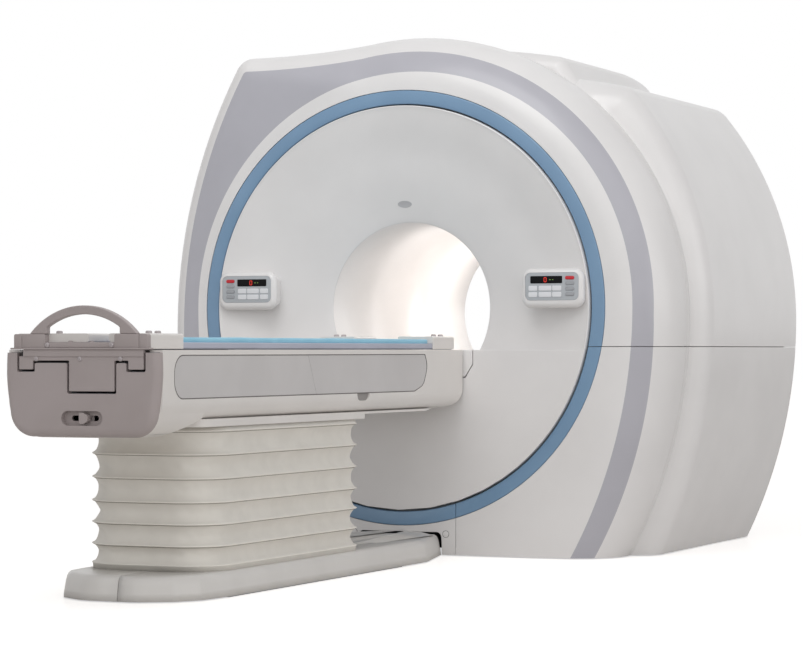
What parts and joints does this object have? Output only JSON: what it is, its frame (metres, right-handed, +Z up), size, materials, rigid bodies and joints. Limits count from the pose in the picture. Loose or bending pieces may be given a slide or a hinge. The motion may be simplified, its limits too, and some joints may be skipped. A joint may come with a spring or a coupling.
{
  "type": "mri scanner",
  "caption": "Magnetic resonance scanner: round-fronted gantry with a patient bore, and a docked patient table on a bellows-covered lift with a sliding top.",
  "frame": {"origin": "on the floor under the isocentre, at the middle of the magnet's spine beam", "axes": "+Z up, +Y along the bore from the patient table to the service end, +X to the right seen from the table"},
  "size_m": [2.444, 4.22, 2.135],
  "materials": {
    "cover_white": "moulded cover, satin lacquer",
    "ring_blue": "moulded ring, satin lacquer",
    "bore_white": "smooth lined bore",
    "table_white": "moulded housing, satin lacquer",
    "panel_grey": "fine grained panel",
    "cap_taupe": "fine grained moulding",
    "bellows_cloth": "coated cloth",
    "mattress_blue": "coated mattress cloth",
    "board_grey": "laminate board",
    "base_white": "moulded base cover",
    "keypad_grey": "printed keypad plate",
    "key_grey": "moulded key",
    "key_red": "moulded key",
    "display_black": "smoked window",
    "steel": "machined steel",
    "frame_paint": "powder coat",
    "vessel_steel": "welded stainless steel",
    "winding_copper": "impregnated copper winding",
    "coil_resin": "cast resin",
    "saddle_iron": "painted iron"
  },
  "bodies": {
    "gantry": {"base_cover_left": "base_white", "base_cover_right": "base_white", "bellows": "bellows_cloth", "blue_ring_kick": "ring_blue", "blue_ring_lower": "ring_blue", "blue_ring_upper": "ring_blue", "bore_liner": "bore_white", "bore_rails": "bore_white", "cover_frame": "frame_paint", "display_left": "display_black", "display_right": "display_black", "docking_bridge": "cover_white", "front_cover_lower_left": "cover_white", "front_cover_lower_right": "cover_white", "front_cover_upper": "cover_white", "front_disc_cover": "cover_white", "gradient_coil": "coil_resin", "keypad_left": "keypad_grey", "keypad_right": "keypad_grey", "kick_panel": "cover_white", "lift_outer_tube": "steel", "magnet_coils": "winding_copper", "magnet_saddles": "saddle_iron", "magnet_vessel": "vessel_steel", "pod_left": "cover_white", "pod_right": "cover_white", "rear_cover": "cover_white", "rf_body_coil": "coil_resin", "roof_cover": "cover_white", "side_cover_lower_left": "cover_white", "side_cover_lower_right": "cover_white", "side_cover_upper_left": "cover_white", "side_cover_upper_right": "cover_white"},
    "lift_stage": {"lift_middle_tube": "steel"},
    "couch": {"lift_inner_tube": "steel", "couch_frame": "frame_paint", "couch_housing": "table_white", "under_cover": "table_white", "trough_liner": "frame_paint", "end_cap": "cap_taupe", "side_panel_foot_right": "panel_grey", "side_panel_foot_left": "panel_grey", "side_panel_head_right": "panel_grey", "side_panel_head_left": "panel_grey"},
    "knob": {"release_knob": "cap_taupe"},
    "tabletop": {"tabletop_board": "board_grey", "mattress": "mattress_blue", "foot_blocks": "table_white", "head_blocks": "table_white", "end_plate": "cap_taupe", "handle_bracket": "cap_taupe", "handle": "cap_taupe"},
    "stop_key_right": {"stop_key_right": "key_red"},
    "up_key_right": {"up_key_right": "key_grey"},
    "light_key_right": {"light_key_right": "key_grey"},
    "down_key_right": {"down_key_right": "key_grey"},
    "stop_key_left": {"stop_key_left": "key_red"},
    "up_key_left": {"up_key_left": "key_grey"},
    "light_key_left": {"light_key_left": "key_grey"},
    "down_key_left": {"down_key_left": "key_grey"}
  },
  "joints": [
    {"name": "couch_lift", "type": "slide", "parent": "gantry", "child": "couch", "axis": [0, 0, 1], "range_m": [-0.38, 0], "deforming": ["bellows"]},
    {"name": "lift_stage_slide", "type": "slide", "parent": "gantry", "child": "lift_stage", "axis": [0, 0, 1], "range_m": [-0.19, 0]},
    {"name": "tabletop_slide", "type": "slide", "parent": "couch", "child": "tabletop", "axis": [0, 1, 0], "range_m": [0, 1.85]},
    {"name": "release_knob_slide", "type": "slide", "parent": "couch", "child": "knob", "axis": [1, 0, 0], "range_m": [-0.035, 0.035]},
    {"name": "stop_key_right_press", "type": "slide", "parent": "gantry", "child": "stop_key_right", "axis": [0, 1, 0], "range_m": [0, 0.0015], "stiffness_N_per_m": 600, "springref_m": -0.001},
    {"name": "up_key_right_press", "type": "slide", "parent": "gantry", "child": "up_key_right", "axis": [0, 1, 0], "range_m": [0, 0.0015], "stiffness_N_per_m": 600, "springref_m": -0.001},
    {"name": "light_key_right_press", "type": "slide", "parent": "gantry", "child": "light_key_right", "axis": [0, 1, 0], "range_m": [0, 0.0015], "stiffness_N_per_m": 600, "springref_m": -0.001},
    {"name": "down_key_right_press", "type": "slide", "parent": "gantry", "child": "down_key_right", "axis": [0, 1, 0], "range_m": [0, 0.0015], "stiffness_N_per_m": 600, "springref_m": -0.001},
    {"name": "stop_key_left_press", "type": "slide", "parent": "gantry", "child": "stop_key_left", "axis": [0, 1, 0], "range_m": [0, 0.0015], "stiffness_N_per_m": 600, "springref_m": -0.001},
    {"name": "up_key_left_press", "type": "slide", "parent": "gantry", "child": "up_key_left", "axis": [0, 1, 0], "range_m": [0, 0.0015], "stiffness_N_per_m": 600, "springref_m": -0.001},
    {"name": "light_key_left_press", "type": "slide", "parent": "gantry", "child": "light_key_left", "axis": [0, 1, 0], "range_m": [0, 0.0015], "stiffness_N_per_m": 600, "springref_m": -0.001},
    {"name": "down_key_left_press", "type": "slide", "parent": "gantry", "child": "down_key_left", "axis": [0, 1, 0], "range_m": [0, 0.0015], "stiffness_N_per_m": 600, "springref_m": -0.001}
  ],
  "couplings": [
    {"joint": "lift_stage_slide", "follows": "couch_lift", "ratio": 0.5}
  ]
}
